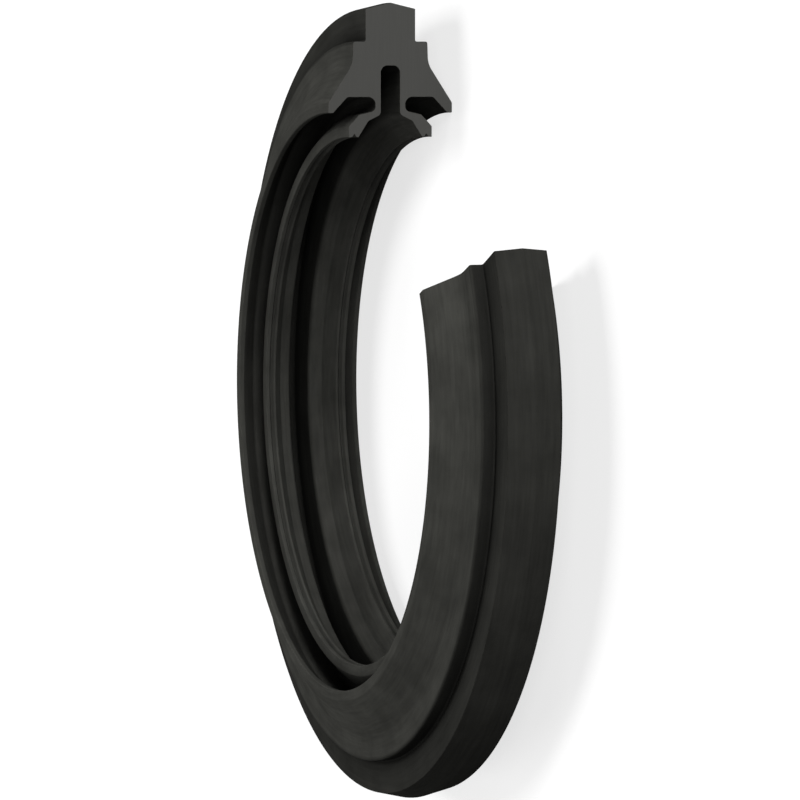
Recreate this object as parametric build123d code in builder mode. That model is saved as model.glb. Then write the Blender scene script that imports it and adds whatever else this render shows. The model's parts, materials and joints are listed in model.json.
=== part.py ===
from build123d import *
from math import radians, tan
import os

os.makedirs("parts", exist_ok=True)

# Double lip seal: one ring moulded in rubber, the same on both sides of the middle of its width.
# Two inner lips ride on the shaft, two outer lips flare over them, and the peaked crown seats in
# the groove of a housing. A sector is cut out of the ring, so its section can be seen.
# Lengths are millimetres and angles are degrees. The ring's axis is Z, and Z is 0 at mid-width.

# Shaft and overall size
shaft_diameter = 60.0
overall_width = 14.85
cut_sector = 65.1

# Crown, a block with a low peak that fills the housing's groove
crown_width = 5.96
crown_height = 3.68
crown_rise = 0.7

# Shoulders beside the crown, and the drafted flanks below them
shoulder_width = 1.47
flank_height = 2.53
flank_draft = 2.0
flank_radius = 2.4

# Central slot between the inner lips, with chamfers at its closed end
slot_width = 2.28
slot_rise = 3.54
slot_chamfer = 0.52
bridge_thickness = 2.71

# Side grooves between the inner and the outer lips, with chamfers at their closed ends
groove_height = 1.55
roof_chamfer = 0.5
floor_chamfer = 0.4
web_thickness = 0.66

# Outer lips, which clear the shaft
outer_lip_clearance = 2.58
outer_lip_face = 1.15
outer_lip_edge = 0.565
outer_lip_flare = 1.73

# Inner lips, which grip the shaft with an edge that is split by a V-shaped notch
lips_width = 9.97
lip_interference = 0.15
lip_face = 1.21
lip_height = 1.83
rim_width = 0.41
notch_width = 0.52
notch_depth = 0.38
heel_width = 0.24

# Neck of each inner lip, and the flared mouth of the slot under it
neck_thickness = 0.44
neck_slope = 12.6
neck_length = 1.935
mouth_run = 1.48
mouth_rise = 0.7

# Levels of the section, as radii from the axis
shaft_level = shaft_diameter / 2
lip_level = shaft_level - lip_interference
knee_level = lip_level + lip_height
mouth_level = knee_level + mouth_rise
floor_level = mouth_level + neck_thickness
roof_level = floor_level + groove_height
slot_level = roof_level + slot_rise
shoulder_level = slot_level + bridge_thickness
flank_level = shoulder_level - flank_height
crown_level = shoulder_level + crown_height
peak_level = crown_level + crown_rise
outer_edge_level = shaft_level + outer_lip_clearance

# Stations of the section along the axis, from mid-width
crown_side = crown_width / 2
shoulder_side = crown_side + shoulder_width
flank_side = shoulder_side + flank_height * tan(radians(flank_draft))
outer_side = overall_width / 2
outer_edge_side = outer_side - outer_lip_edge
roof_side = outer_edge_side - outer_lip_flare
slot_side = slot_width / 2
web_side = slot_side + web_thickness
neck_side = web_side + neck_length
lip_side = lips_width / 2
notch_side = lip_side - rim_width - notch_width / 2
heel_side = notch_side - notch_width / 2 - heel_width
knee_side = slot_side + mouth_run


def neck_top(side):
    """Level of the neck's sloping top, which is the floor of the side groove, at a station."""
    return floor_level - (side - web_side) * tan(radians(neck_slope))


with BuildPart() as seal_ring:
    with BuildSketch(Plane.XZ):
        with BuildLine():
            # Half of the crown, and the shoulder beside it
            Polyline(
                (peak_level, 0),
                (crown_level, crown_side),
                (shoulder_level, crown_side),
                (shoulder_level, shoulder_side),
            )
            # Flank, which curves into the cone of the outer lip
            FilletPolyline(
                (shoulder_level, shoulder_side),
                (flank_level, flank_side),
                (outer_edge_level + outer_lip_face, outer_side),
                radius=flank_radius,
            )
            # Outer lip, and the side groove behind it down to the neck
            Polyline(
                (outer_edge_level + outer_lip_face, outer_side),
                (outer_edge_level, outer_side),
                (outer_edge_level, outer_edge_side),
                (roof_level, roof_side),
                (roof_level, web_side + roof_chamfer),
                (roof_level - roof_chamfer, web_side),
                (floor_level + floor_chamfer, web_side),
                (neck_top(web_side + floor_chamfer), web_side + floor_chamfer),
                (neck_top(neck_side), neck_side),
            )
            # Notched inner lip, and the mouth of the slot under its neck
            Polyline(
                (neck_top(neck_side), neck_side),
                (lip_level + lip_face, lip_side),
                (lip_level, lip_side),
                (lip_level, notch_side + notch_width / 2),
                (lip_level + notch_depth, notch_side),
                (lip_level, notch_side - notch_width / 2),
                (lip_level, heel_side),
                (knee_level, knee_side),
                (mouth_level, slot_side),
            )
            # Wall and closed end of the slot
            Polyline(
                (mouth_level, slot_side),
                (slot_level - slot_chamfer, slot_side),
                (slot_level, slot_side - slot_chamfer),
                (slot_level, 0),
            )
            # The other half of the width
            mirror(about=Plane.XZ)
        make_face()
    revolve(axis=Axis.Z, revolution_arc=360 - cut_sector)
seal_ring.part.label = "seal_ring"

export_step(seal_ring.part, "parts/seal_ring.step")
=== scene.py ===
"""Double lip seal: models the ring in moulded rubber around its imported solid, and stages it."""

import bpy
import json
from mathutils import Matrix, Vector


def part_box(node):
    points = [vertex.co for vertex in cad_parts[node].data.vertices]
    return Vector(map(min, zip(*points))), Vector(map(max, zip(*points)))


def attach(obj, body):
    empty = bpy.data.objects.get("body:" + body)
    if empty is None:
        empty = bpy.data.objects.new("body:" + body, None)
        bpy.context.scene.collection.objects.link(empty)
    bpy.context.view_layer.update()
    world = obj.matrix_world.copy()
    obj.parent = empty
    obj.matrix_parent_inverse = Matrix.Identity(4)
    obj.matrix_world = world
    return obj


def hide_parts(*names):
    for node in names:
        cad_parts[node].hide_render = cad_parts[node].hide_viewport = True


bl_info = {
    "name": "Double Lip Seal",
    "version": (1, 0, 0),
    "blender": (4, 5, 0),
    "location": "3D View > Sidebar > Seal",
    "description": "Models a rubber shaft seal that is cut open to show its section, and its studio",
    "category": "Object",
}

import json
import math

import bmesh
import bpy
from bpy.props import FloatProperty, FloatVectorProperty, IntProperty, PointerProperty
from mathutils import Matrix, Vector

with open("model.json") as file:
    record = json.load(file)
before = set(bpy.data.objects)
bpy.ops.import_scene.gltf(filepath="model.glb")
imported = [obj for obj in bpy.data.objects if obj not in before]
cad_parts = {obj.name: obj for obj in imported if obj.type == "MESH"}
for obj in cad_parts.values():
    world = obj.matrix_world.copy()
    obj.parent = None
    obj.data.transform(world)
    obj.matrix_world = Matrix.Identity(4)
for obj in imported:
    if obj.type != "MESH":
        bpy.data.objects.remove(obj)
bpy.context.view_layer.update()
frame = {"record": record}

MM = 0.001
CAD_NODE = "seal_ring"
BODY = "root"

# Points this near to each other are one, and edges that turn by more than this stay sharp
SAME_PLACE = 0.001 * MM
SMOOTH_ANGLE = math.radians(20)

# The frame gives the levels that the ring shares with the shaft, the housing and the floor
MOUNTS = {mount["name"]: mount for mount in frame["record"]["mounts"]}
RING_LOW, RING_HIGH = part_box(CAD_NODE)
LIP_LEVEL = MOUNTS["shaft_bore"]["dims"]["r_mm"] * MM
LIPS_WIDTH = MOUNTS["shaft_bore"]["dims"]["length_mm"] * MM
CROWN_WIDTH = 2 * MOUNTS["crown_face_top"]["pos_m"][2]
PEAK_LEVEL = RING_HIGH.x
OVERALL_WIDTH = RING_HIGH.z - RING_LOW.z
FLOOR_LEVEL = RING_LOW.z
MEAN_LEVEL = (LIP_LEVEL + PEAK_LEVEL) / 2


def length(name, description, millimetres):
    """A length that a user can set, in metres, with its default given in millimetres."""
    return FloatProperty(
        name=name,
        description=description,
        default=millimetres * MM,
        min=0.0,
        precision=5,
        unit="LENGTH",
    )


def angle(name, description, degrees):
    """An angle that a user can set, with its default given in degrees."""
    return FloatProperty(
        name=name,
        description=description,
        default=math.radians(degrees),
        subtype="ANGLE",
    )


def to_linear(colour):
    """The linear colour of an sRGB hex value such as 4a4a46, with a full alpha."""
    channels = [int(colour[i:i + 2], 16) / 255 for i in (0, 2, 4)]
    return (
        *(c / 12.92 if c <= 0.04045 else ((c + 0.055) / 1.055) ** 2.4 for c in channels),
        1.0,
    )


WHITE = to_linear("ffffff")


def tint(name, description, colour):
    """A colour that a user can set, with its default given as an sRGB hex value."""
    return FloatVectorProperty(
        name=name,
        description=description,
        default=to_linear(colour),
        size=4,
        min=0.0,
        max=1.0,
        subtype="COLOR",
    )


class SealSectionSizes(bpy.types.PropertyGroup):
    """Sizes of the ring's section, which is the same on both sides of its width."""

    cut_sector: angle("Cut sector", "Sector that is cut out of the ring", 65.1)
    crown_height: length("Crown height", "Height of the crown's walls over the shoulders", 3.68)
    crown_rise: length("Crown rise", "Height of the crown's low peak over its edges", 0.7)
    shoulder_width: length("Shoulder width", "Width of the shoulder beside the crown", 1.47)
    flank_height: length("Flank height", "Height of the drafted flank under the shoulder", 2.53)
    flank_draft: angle("Flank draft", "Draft of the flank", 2.0)
    slot_width: length("Slot width", "Width of the slot between the inner lips", 2.28)
    bridge: length("Bridge", "Thickness of the rubber between the slot and the shoulders", 2.71)
    groove_height: length("Groove height", "Height of the closed end of a side groove", 1.55)
    web: length("Web", "Thickness of the wall between the slot and a side groove", 0.66)
    outer_lip_rise: length("Outer lip rise", "Height of the outer lips over the inner ones", 2.73)
    outer_lip_face: length("Outer lip face", "Height of the outer lip's flat end", 1.15)
    outer_lip_edge: length("Outer lip edge", "Width of the outer lip's inner edge", 0.565)
    outer_lip_flare: length("Outer lip flare", "Width of the slope behind the outer lip", 1.73)
    lip_face: length("Lip face", "Height of the inner lip's flat end", 1.21)
    lip_height: length("Lip height", "Height of the inner lip up to its knee", 1.83)
    rim: length("Rim", "Width of the inner lip's edge outside its notch", 0.41)
    notch_width: length("Notch width", "Width of the V-shaped notch in the lip's edge", 0.52)
    notch_depth: length("Notch depth", "Depth of the V-shaped notch in the lip's edge", 0.38)
    heel: length("Heel", "Width of the inner lip's edge inside its notch", 0.24)
    neck: length("Neck", "Thickness of the neck that carries an inner lip", 0.44)
    neck_slope: angle("Neck slope", "Slope of the neck's upper side", 12.6)
    neck_length: length("Neck length", "Width of the neck's upper side", 1.935)
    mouth_run: length("Mouth run", "Width of the flared mouth of the slot", 1.48)
    mouth_rise: length("Mouth rise", "Height of the flared mouth of the slot", 0.7)


class SealRounds(bpy.types.PropertyGroup):
    """Radii of the rounds in the section, and how finely they and the ring are divided."""

    peak: length("Peak", "Radius of the crown's peak", 0.3)
    crown_edge: length("Crown edge", "Radius of the crown's outer edges", 0.08)
    step: length("Step", "Radius in the corner between the crown and a shoulder", 0.2)
    shoulder_edge: length("Shoulder edge", "Radius of the shoulder's outer edge", 0.25)
    flank: length("Flank", "Radius where the flank turns into the outer lip's cone", 2.4)
    outer_lip: length("Outer lip", "Radius at the outer end of the cone", 0.35)
    outer_tip: length("Outer tip", "Radius of the outer lip's tip", 0.12)
    outer_edge: length("Outer edge", "Radius of the outer lip's inner edge", 0.08)
    flare: length("Flare", "Radius where the groove's roof turns into the flare", 0.5)
    groove_roof: length("Groove roof", "Upper radius of a side groove's closed end", 0.85)
    groove_floor: length("Groove floor", "Lower radius of a side groove's closed end", 0.6)
    neck: length("Neck", "Radius between the neck and the inner lip", 0.4)
    inner_lip: length("Inner lip", "Radius at the upper end of the inner lip's face", 0.25)
    lip_edge: length("Lip edge", "Radius of the edges that ride on the shaft", 0.07)
    notch: length("Notch", "Radius at the bottom of the notch", 0.06)
    knee: length("Knee", "Radius of the inner lip's knee", 0.3)
    mouth: length("Mouth", "Radius at the slot's mouth", 0.55)
    slot: length("Slot", "Radius in the upper corners of the slot", 0.8)
    cut_break: length("Cut break", "Width of the broken edge around each cut end", 0.03)
    arc_step: angle("Arc step", "Largest turn between two points of a round", 7.0)
    spin_steps: IntProperty(
        name="Spin steps",
        description="Number of steps around the ring",
        default=196,
        min=8,
    )


class SealRubberLook(bpy.types.PropertyGroup):
    """Colours of the moulded skin and of the cut ends."""

    # This colour is also the painted shade: it is painted into the recesses, the slot, the shoulders
    # and the crown
    bare_and_shaded: tint("Bare skin", "Colour of the skin with no wax on it, deep in the grooves", "141413")
    waxed: tint("Waxed skin", "Colour of the skin where wax has bloomed on it", "3b3b38")
    cut: tint("Cut", "Colour of the rubber in the cut ends", "444442")


class SealStageSettings(bpy.types.PropertyGroup):
    """Camera and studio."""

    camera_aim: FloatVectorProperty(
        name="Camera aim",
        description="Point that the camera looks at",
        default=(0.058 * MM, -0.365 * MM, -1.018 * MM),
        size=3,
        precision=5,
        subtype="TRANSLATION",
        unit="LENGTH",
    )
    camera_azimuth: angle("Camera azimuth", "Direction of the camera around the ring's axis", 4.633)
    camera_elevation: angle("Camera elevation", "Height of the camera over the floor", 19.906)
    camera_roll: angle("Camera roll", "Turn of the camera that sets the ring upright", -91.58)
    camera_distance: length("Camera distance", "Distance from the camera to its aim", 518.76)
    camera_lens: FloatProperty(
        name="Camera lens",
        description="Focal length of the camera",
        default=205.7,
        min=1.0,
        unit="CAMERA",
    )
    floor_size: length("Floor size", "Length of the floor's sides", 6000.0)
    floor: tint("Floor", "Colour in which the floor sends back the light of the lamps", "a0a0a0")
    floor_glow: FloatProperty(
        name="Floor glow",
        description="White that the floor shows to the camera without the lamps",
        default=0.7,
        min=0.0,
        max=1.0,
        subtype="FACTOR",
    )
    sky: FloatProperty(
        name="Sky",
        description="Strength of the light from all round",
        default=0.03,
        min=0.0,
    )


# Each group's name in the scene, its title in the panel and its class
GROUPS = {
    "seal_sizes": ("Section", SealSectionSizes),
    "seal_rounds": ("Rounds", SealRounds),
    "seal_look": ("Rubber", SealRubberLook),
    "seal_stage": ("Studio", SealStageSettings),
}


def shoulder_level_of(sizes):
    """Level of the shoulders, at the foot of the crown."""
    return PEAK_LEVEL - sizes.crown_rise - sizes.crown_height


def section_corners(sizes, rounds):
    """Corners of half the section, in order from its peak to its slot.

    Each is a level from the axis, a station from the middle of the width and its round's radius.
    """
    crown_side = CROWN_WIDTH / 2
    shoulder_side = crown_side + sizes.shoulder_width
    flank_side = shoulder_side + sizes.flank_height * math.tan(sizes.flank_draft)
    outer_side = OVERALL_WIDTH / 2
    outer_edge_side = outer_side - sizes.outer_lip_edge
    roof_side = outer_edge_side - sizes.outer_lip_flare
    slot_side = sizes.slot_width / 2
    web_side = slot_side + sizes.web
    neck_side = web_side + sizes.neck_length
    lip_side = LIPS_WIDTH / 2
    notch_side = lip_side - sizes.rim - sizes.notch_width / 2
    heel_side = notch_side - sizes.notch_width / 2 - sizes.heel
    knee_side = slot_side + sizes.mouth_run

    crown_level = PEAK_LEVEL - sizes.crown_rise
    shoulder_level = shoulder_level_of(sizes)
    flank_level = shoulder_level - sizes.flank_height
    outer_edge_level = LIP_LEVEL + sizes.outer_lip_rise
    knee_level = LIP_LEVEL + sizes.lip_height
    mouth_level = knee_level + sizes.mouth_rise
    floor_level = mouth_level + sizes.neck
    roof_level = floor_level + sizes.groove_height
    slot_level = shoulder_level - sizes.bridge
    neck_level = floor_level - sizes.neck_length * math.tan(sizes.neck_slope)

    return (
        (PEAK_LEVEL, 0.0, 0.0),
        (crown_level, crown_side, rounds.crown_edge),
        (shoulder_level, crown_side, rounds.step),
        (shoulder_level, shoulder_side, rounds.shoulder_edge),
        (flank_level, flank_side, rounds.flank),
        (outer_edge_level + sizes.outer_lip_face, outer_side, rounds.outer_lip),
        (outer_edge_level, outer_side, rounds.outer_tip),
        (outer_edge_level, outer_edge_side, rounds.outer_edge),
        (roof_level, roof_side, rounds.flare),
        (roof_level, web_side, rounds.groove_roof),
        (floor_level, web_side, rounds.groove_floor),
        (neck_level, neck_side, rounds.neck),
        (LIP_LEVEL + sizes.lip_face, lip_side, rounds.inner_lip),
        (LIP_LEVEL, lip_side, rounds.lip_edge),
        (LIP_LEVEL, notch_side + sizes.notch_width / 2, rounds.lip_edge),
        (LIP_LEVEL + sizes.notch_depth, notch_side, rounds.notch),
        (LIP_LEVEL, notch_side - sizes.notch_width / 2, rounds.lip_edge),
        (LIP_LEVEL, heel_side, rounds.lip_edge),
        (knee_level, knee_side, rounds.knee),
        (mouth_level, slot_side, rounds.mouth),
        (slot_level, slot_side, rounds.slot),
        (slot_level, 0.0, 0.0),
    )


def select_points(points):
    """In edit mode, selects only the vertices that lie at these points."""
    mesh = bpy.context.object.data
    form = bmesh.from_edit_mesh(mesh)
    bpy.ops.mesh.select_mode(type="VERT")
    for vertex in form.verts:
        vertex.select = any((vertex.co - point).length < SAME_PLACE for point in points)
    form.select_flush_mode()
    bmesh.update_edit_mesh(mesh)


def draw_outline(points):
    """In object mode, draws a face through these points, and leaves it in edit mode."""
    bpy.ops.object.select_all(action="DESELECT")
    bpy.ops.mesh.primitive_plane_add(size=MM, location=points[0])
    bpy.ops.object.transform_apply(location=True)
    bpy.ops.object.mode_set(mode="EDIT")
    bpy.ops.mesh.merge(type="CENTER")
    for start, end in zip(points, points[1:]):
        bpy.ops.mesh.extrude_region_move(TRANSFORM_OT_translate={"value": end - start})
    bpy.ops.mesh.select_all(action="SELECT")
    bpy.ops.mesh.edge_face_add()


def round_corner(before, corner, after, radius, arc_step):
    """In edit mode, rounds one corner of the outline to a radius."""
    turn = math.pi - (before - corner).angle(after - corner)
    select_points([corner])
    bpy.ops.mesh.bevel(
        affect="VERTICES",
        offset_type="OFFSET",
        offset=radius * math.tan(turn / 2),
        segments=max(2, math.ceil(turn / arc_step)),
        profile=0.5,
        clamp_overlap=False,
    )


def apply_modifier(kind, **settings):
    """Adds a modifier to the active object with these settings, and applies it."""
    modifier = bpy.context.object.modifiers.new(kind, kind)
    for name, value in settings.items():
        setattr(modifier, name, value)
    bpy.ops.object.modifier_apply(modifier=modifier.name)


def model_section(sizes, rounds):
    """Models the whole section as one flat face with its rounds, and leaves it in edit mode."""
    corners = section_corners(sizes, rounds)
    points = [Vector((level, 0.0, station)) for level, station, _ in corners]
    peak, crown_edge, slot_end = points[0], points[1], points[-1]

    # Half the section with its rounds, then the other half
    draw_outline(points)
    for before, corner, after, (_, _, radius) in zip(points, points[1:], points[2:], corners[1:]):
        round_corner(before, corner, after, radius, rounds.arc_step)
    bpy.ops.object.mode_set(mode="OBJECT")
    apply_modifier("MIRROR", use_axis=(False, False, True), merge_threshold=SAME_PLACE)

    # The edge between the halves goes, which leaves one face, and its peak is rounded last
    bpy.ops.object.mode_set(mode="EDIT")
    select_points([peak, slot_end])
    bpy.ops.mesh.select_mode(type="EDGE")
    bpy.ops.mesh.dissolve_edges(use_verts=False)
    other_crown_edge = Vector((crown_edge.x, 0.0, -crown_edge.z))
    round_corner(crown_edge, peak, other_crown_edge, rounds.peak, rounds.arc_step)


def spin_ring(sizes, rounds):
    """In edit mode, spins the section into the ring, which is closed at both cut ends."""
    bpy.ops.mesh.select_all(action="SELECT")
    bpy.ops.mesh.spin(
        steps=rounds.spin_steps,
        dupli=False,
        angle=-(2 * math.pi - sizes.cut_sector),
        center=(0, 0, 0),
        axis=(0, 0, 1),
    )
    # The spin can leave faces that point inwards
    bpy.ops.mesh.select_all(action="SELECT")
    bpy.ops.mesh.normals_make_consistent(inside=False)


def select_cut_ends():
    """In edit mode, selects the cut ends, the only faces with more than four corners."""
    bpy.ops.mesh.select_all(action="DESELECT")
    bpy.ops.mesh.select_mode(type="FACE")
    bpy.ops.mesh.select_face_by_sides(number=4, type="GREATER", extend=False)


def break_cut_edges(rounds):
    """In edit mode, breaks the sharp edges around both cut ends."""
    select_cut_ends()
    bpy.ops.mesh.region_to_loop()
    bpy.ops.mesh.bevel(affect="EDGES", offset=rounds.cut_break, segments=1)


def dress_ring(ring, skin, cut):
    """In object mode, gives the ring its skin, and its cut ends their own material."""
    ring.data.materials.append(skin)
    ring.data.materials.append(cut)
    bpy.ops.object.mode_set(mode="EDIT")
    select_cut_ends()
    ring.active_material_index = ring.data.materials.find(cut.name)
    bpy.ops.object.material_slot_assign()
    bpy.ops.mesh.quads_convert_to_tris(ngon_method="BEAUTY")
    bpy.ops.object.mode_set(mode="OBJECT")
    bpy.ops.object.shade_smooth_by_angle(angle=SMOOTH_ANGLE)
    apply_modifier("WEIGHTED_NORMAL", keep_sharp=True)


# A Mix node's colours share their names with its numbers, so they are found by their places
MIX_FROM, MIX_TO, MIX_RESULT = 6, 7, 2


def add_node(tree, kind, links=None, **settings):
    """Adds a node with its settings. Links map an input to a value or to another node's output."""
    node = tree.nodes.new(kind)
    for name, value in settings.items():
        setattr(node, name, value)
    for socket, source in (links or {}).items():
        if isinstance(source, bpy.types.NodeSocket):
            tree.links.new(source, node.inputs[socket])
        else:
            node.inputs[socket].default_value = source
    return node


def new_material(name):
    """An empty node material, with its tree and its output node."""
    material = bpy.data.materials.new(name)
    material.use_nodes = True
    tree = material.node_tree
    tree.nodes.clear()
    return material, tree, add_node(tree, "ShaderNodeOutputMaterial")


def ring_coordinates(tree):
    """Sockets of the place on the ring, of the direction to it from the axis, and of its radius."""
    place = add_node(tree, "ShaderNodeTexCoord")
    flat = add_node(tree, "ShaderNodeVectorMath", {0: place.outputs["Object"], 1: (1, 1, 0)},
                    operation="MULTIPLY")
    radius = add_node(tree, "ShaderNodeVectorMath", {0: flat.outputs[0]}, operation="LENGTH")
    way = add_node(tree, "ShaderNodeVectorMath", {0: flat.outputs[0]}, operation="NORMALIZE")
    return place.outputs["Object"], way.outputs["Vector"], radius.outputs["Value"]


def moulded_rubber(look, sizes):
    """Nitrile rubber, pressed in a turned steel mould.

    The mould's turning marks leave faint streaks along the ring, over a leathery grain. Wax blooms
    out of the rubber in soft pale patches, and leaves it so dull that it mirrors nothing. Shade is
    painted into its colour: the shoulders and the crown are painted darker than the lips and the
    flanks, and recesses are painted nearly black by how closed in they are. The small notches in
    the edges of the inner lips are kept out of that painted shade.
    """
    material, tree, output = new_material("nitrile rubber, moulded")
    place, way, radius = ring_coordinates(tree)
    # Turning marks are about 0.1 mm wide, too fine to show, so they are drawn four times as wide
    streak_width, streak_length = 0.4 * MM, 5 * MM
    bloom_size = 5 * MM
    grain_size = 0.3 * MM
    bump_height = 0.03 * MM

    # Where shade is painted: in recesses, from the shoulders onto the crown, and in recesses above
    # the lips' edges but not in their notches
    recess_reach, recess_shade_power = 3 * MM, 2.2
    crown_starts = shoulder_level_of(sizes) - 0.52 * MM
    crown_begun = shoulder_level_of(sizes) - 0.12 * MM
    edges_end = LIP_LEVEL + sizes.notch_depth + 0.02 * MM
    lip_begun = LIP_LEVEL + sizes.notch_depth + 0.12 * MM
    crown_shade_factor, edge_share, patch_share = 0.5, 0.85, 0.74

    # The streaks' noise takes its place in the section, and a shorter way round the ring
    height = add_node(tree, "ShaderNodeSeparateXYZ", {"Vector": place}).outputs["Z"]
    around = add_node(tree, "ShaderNodeVectorMath",
                      {0: way, "Scale": MEAN_LEVEL * streak_width / streak_length},
                      operation="SCALE")
    turn = add_node(tree, "ShaderNodeSeparateXYZ", {"Vector": around.outputs[0]})
    ring_place = add_node(tree, "ShaderNodeCombineXYZ",
                          {"X": radius, "Y": height, "Z": turn.outputs["X"]})
    streaks = add_node(tree, "ShaderNodeTexNoise",
                       {"Vector": ring_place.outputs[0], "W": turn.outputs["Y"],
                        "Scale": 1 / streak_width, "Detail": 2.0, "Roughness": 0.6},
                       noise_dimensions="4D")
    bloom = add_node(tree, "ShaderNodeTexNoise",
                     {"Vector": place, "Scale": 1 / bloom_size, "Detail": 3.0, "Roughness": 0.55})
    grain = add_node(tree, "ShaderNodeTexNoise",
                     {"Vector": place, "Scale": 1 / grain_size, "Detail": 1.0})

    patches = add_node(tree, "ShaderNodeMapRange",
                       {"Value": bloom.outputs["Fac"], "From Min": 0.35, "From Max": 0.65,
                        "To Min": patch_share, "To Max": 1.0})
    # Painted shade: the shoulders and the crown are coloured darker than the lips and the flanks
    crown_shading = add_node(tree, "ShaderNodeMapRange",
                      {"Value": radius, "From Min": crown_starts, "From Max": crown_begun,
                       "To Min": 1.0, "To Max": crown_shade_factor})
    lines = add_node(tree, "ShaderNodeMapRange",
                     {"Value": streaks.outputs["Fac"], "From Min": 0.3, "From Max": 0.7,
                      "To Min": 0.88, "To Max": 1.12})
    # Painted shade: recesses are coloured darker, towards the bare colour, by how closed in they are
    painted_occlusion = add_node(tree, "ShaderNodeAmbientOcclusion", {"Distance": recess_reach},
                           only_local=True, samples=6)
    recess_shading = add_node(tree, "ShaderNodeMath",
                       {0: painted_occlusion.outputs["AO"], 1: recess_shade_power}, operation="POWER")
    # The notches in the inner lips' edges are kept out of the painted shade
    on_edges = add_node(tree, "ShaderNodeMapRange",
                        {"Value": radius, "From Min": edges_end, "From Max": lip_begun,
                         "To Min": edge_share, "To Max": 0.0})
    shading_off_edges = add_node(tree, "ShaderNodeMath", {0: recess_shading.outputs[0], 1: on_edges.outputs[0]},
                       operation="MAXIMUM")
    # Both painted shades together, then the random wax patches on top
    painted_shade = add_node(tree, "ShaderNodeMath", {0: shading_off_edges.outputs[0], 1: crown_shading.outputs[0]},
                     operation="MULTIPLY")
    wax_and_shade = add_node(tree, "ShaderNodeMath", {0: painted_shade.outputs[0], 1: patches.outputs[0]},
                   operation="MULTIPLY")
    skin = add_node(tree, "ShaderNodeMix",
                    {"Factor": wax_and_shade.outputs[0], MIX_FROM: look.bare_and_shaded, MIX_TO: look.waxed},
                    data_type="RGBA")
    colour = add_node(tree, "ShaderNodeVectorMath",
                      {0: skin.outputs[MIX_RESULT], "Scale": lines.outputs[0]},
                      operation="SCALE")
    streak_bump = add_node(tree, "ShaderNodeBump",
                           {"Height": streaks.outputs["Fac"], "Strength": 0.15,
                            "Distance": bump_height})
    grain_bump = add_node(tree, "ShaderNodeBump",
                          {"Height": grain.outputs["Fac"], "Strength": 0.3,
                           "Distance": bump_height, "Normal": streak_bump.outputs[0]})
    shader = add_node(tree, "ShaderNodeBsdfPrincipled",
                      {"Base Color": colour.outputs[0], "Roughness": 0.8,
                       "Specular IOR Level": 0.0, "Normal": grain_bump.outputs[0]})
    tree.links.new(shader.outputs[0], output.inputs["Surface"])
    return material


def cut_rubber(look):
    """The same rubber where a blade has cut it.

    The cut has no moulded skin, so it is an even, paler grey with a very fine drag from the blade.
    """
    material, tree, output = new_material("nitrile rubber, cut")
    place = add_node(tree, "ShaderNodeTexCoord").outputs["Object"]
    # The drag is drawn just coarse enough to show
    drag_pitch, drag_length = 0.2 * MM, 6 * MM
    bump_height = 0.02 * MM
    drag_at = add_node(tree, "ShaderNodeMapping",
                       {"Vector": place,
                        "Scale": (1 / drag_length, 1 / drag_length, 1 / drag_pitch)})
    drag = add_node(tree, "ShaderNodeTexNoise",
                    {"Vector": drag_at.outputs[0], "Scale": 1.0, "Detail": 2.0})
    shade = add_node(tree, "ShaderNodeMapRange",
                     {"Value": drag.outputs["Fac"], "From Min": 0.3, "From Max": 0.7,
                      "To Min": 0.97, "To Max": 1.03})
    colour = add_node(tree, "ShaderNodeVectorMath",
                      {0: look.cut[:3], "Scale": shade.outputs[0]}, operation="SCALE")
    bump = add_node(tree, "ShaderNodeBump",
                    {"Height": drag.outputs["Fac"], "Strength": 0.15, "Distance": bump_height})
    shader = add_node(tree, "ShaderNodeBsdfPrincipled",
                      {"Base Color": colour.outputs[0], "Roughness": 0.7,
                       "Specular IOR Level": 0.0, "Normal": bump.outputs[0]})
    tree.links.new(shader.outputs[0], output.inputs["Surface"])
    return material


class SEAL_OT_add_ring(bpy.types.Operator):
    """Models the seal ring from its section, and gives it its rubber"""

    bl_idname = "seal.add_ring"
    bl_label = "Add Seal Ring"

    def execute(self, context):
        sizes = context.scene.seal_sizes
        rounds = context.scene.seal_rounds
        look = context.scene.seal_look

        model_section(sizes, rounds)
        spin_ring(sizes, rounds)
        break_cut_edges(rounds)
        bpy.ops.object.mode_set(mode="OBJECT")

        ring = context.object
        ring.name = ring.data.name = "rubber_ring"
        dress_ring(ring, moulded_rubber(look, sizes), cut_rubber(look))

        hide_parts(CAD_NODE)
        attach(ring, BODY)
        return {"FINISHED"}


# Each lamp's azimuth and elevation in degrees, distance and diameter in metres, and power in watts
LAMPS = {
    "low front lamp": (30.0, 8.4, 0.8, 0.2, 3.25),
    "high front lamp": (0.0, 24.0, 0.8, 0.36, 2.0),
    "side lamp": (60.0, 8.4, 0.8, 0.2, 3.6),
    "top lamp": (150.0, 66.0, 0.8, 0.36, 4.1),
    "back lamp": (210.0, 24.0, 0.8, 0.36, 4.0),
}


def toward(azimuth, elevation):
    """Unit vector from the ring towards a place round it, with azimuth 0 on the side of -Y."""
    return Vector((
        math.sin(azimuth) * math.cos(elevation),
        -math.cos(azimuth) * math.cos(elevation),
        math.sin(elevation),
    ))


def add_camera(settings):
    """Adds the camera, with a roll about its own line of sight."""
    back = toward(settings.camera_azimuth, settings.camera_elevation)
    level = (-back).to_track_quat("-Z", "Y").to_matrix().to_4x4()
    bpy.ops.object.camera_add()
    camera = bpy.context.object
    camera.matrix_world = (
        Matrix.Translation(Vector(settings.camera_aim) + back * settings.camera_distance)
        @ level
        @ Matrix.Rotation(settings.camera_roll, 4, "Z")
    )
    camera.data.lens = settings.camera_lens
    camera.data.clip_start = 10 * MM
    bpy.context.scene.camera = camera


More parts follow.
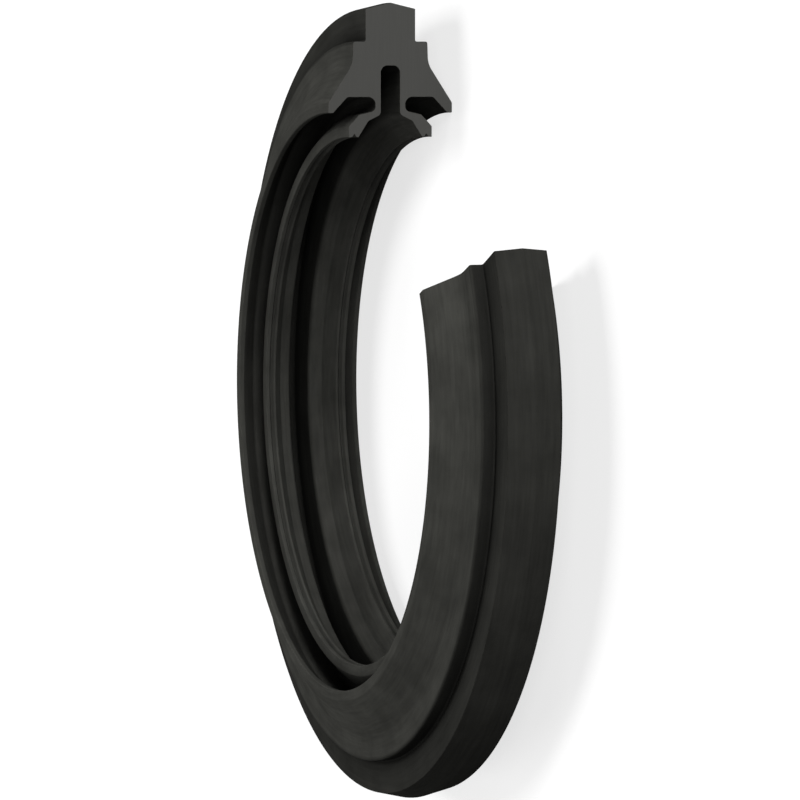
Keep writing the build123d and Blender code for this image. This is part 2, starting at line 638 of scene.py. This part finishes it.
def add_lamp(name, azimuth, elevation, distance, diameter, power):
    """Adds a round soft lamp that points at the ring."""
    away = toward(math.radians(azimuth), math.radians(elevation))
    bpy.ops.object.light_add(type="AREA", location=away * distance)
    lamp = bpy.context.object
    lamp.name = name
    lamp.rotation_euler = (-away).to_track_quat("-Z", "Y").to_euler()
    lamp.data.shape = "DISK"
    lamp.data.size = diameter
    lamp.data.energy = power


def seen_directly(tree):
    """Socket that is 1 for rays from the camera and for mirrored and refracted ones."""
    path = add_node(tree, "ShaderNodeLightPath")
    mirrored = add_node(tree, "ShaderNodeMath",
                        {0: path.outputs["Is Camera Ray"], 1: path.outputs["Is Glossy Ray"]},
                        operation="MAXIMUM")
    return add_node(tree, "ShaderNodeMath",
                    {0: mirrored.outputs[0], 1: path.outputs["Is Transmission Ray"]},
                    operation="MAXIMUM").outputs[0]


def add_floor(settings):
    """Adds a white floor that keeps the ring's soft shadow."""
    material, tree, output = new_material("white studio floor")
    paint = add_node(tree, "ShaderNodeBsdfDiffuse", {"Color": settings.floor})
    strength = add_node(tree, "ShaderNodeMath", {0: seen_directly(tree), 1: settings.floor_glow},
                        operation="MULTIPLY")
    glow = add_node(tree, "ShaderNodeEmission",
                    {"Color": WHITE, "Strength": strength.outputs[0]})
    both = add_node(tree, "ShaderNodeAddShader", {0: paint.outputs[0], 1: glow.outputs[0]})
    tree.links.new(both.outputs[0], output.inputs["Surface"])

    bpy.ops.object.select_all(action="DESELECT")
    bpy.ops.mesh.primitive_plane_add(size=settings.floor_size, location=(0, 0, FLOOR_LEVEL))
    bpy.ops.object.transform_apply(location=True)
    floor = bpy.context.object
    floor.name = "floor"
    floor.data.materials.append(material)


def light_from_all_round(settings):
    """Gives the world a weak even light, and pure white where it is seen."""
    world = bpy.data.worlds.new("studio")
    world.use_nodes = True
    tree = world.node_tree
    tree.nodes.clear()
    strength = add_node(tree, "ShaderNodeMapRange",
                        {"Value": seen_directly(tree), "To Min": settings.sky, "To Max": 1.0})
    light = add_node(tree, "ShaderNodeBackground",
                     {"Color": WHITE, "Strength": strength.outputs[0]})
    add_node(tree, "ShaderNodeOutputWorld", {"Surface": light.outputs[0]})
    bpy.context.scene.world = world


class SEAL_OT_add_stage(bpy.types.Operator):
    """Adds the floor, the lamps and the camera"""

    bl_idname = "seal.add_stage"
    bl_label = "Add Stage"

    def execute(self, context):
        settings = context.scene.seal_stage
        add_floor(settings)
        for name, values in LAMPS.items():
            add_lamp(name, *values)
        light_from_all_round(settings)
        add_camera(settings)
        context.scene.view_settings.view_transform = "Standard"
        return {"FINISHED"}


OPERATORS = (SEAL_OT_add_ring, SEAL_OT_add_stage)


class SEAL_PT_panel(bpy.types.Panel):
    """Lists the operators, and the sizes, colours and settings that they use"""

    bl_idname = "SEAL_PT_panel"
    bl_label = "Double Lip Seal"
    bl_space_type = "VIEW_3D"
    bl_region_type = "UI"
    bl_category = "Seal"

    def draw(self, context):
        for operator in OPERATORS:
            self.layout.operator(operator.bl_idname)
        for name, (title, group) in GROUPS.items():
            box = self.layout.box()
            box.label(text=title)
            for setting in group.__annotations__:
                box.prop(getattr(context.scene, name), setting)


def register():
    for name, (title, group) in GROUPS.items():
        bpy.utils.register_class(group)
        setattr(bpy.types.Scene, name, PointerProperty(name=title, type=group))
    for cls in (*OPERATORS, SEAL_PT_panel):
        bpy.utils.register_class(cls)


def unregister():
    for cls in (SEAL_PT_panel, *reversed(OPERATORS)):
        bpy.utils.unregister_class(cls)
    for name, (_, group) in reversed(GROUPS.items()):
        delattr(bpy.types.Scene, name)
        bpy.utils.unregister_class(group)


def main():
    register()
    bpy.ops.seal.add_ring()
    bpy.ops.seal.add_stage()


if __name__ == "__main__":
    main()
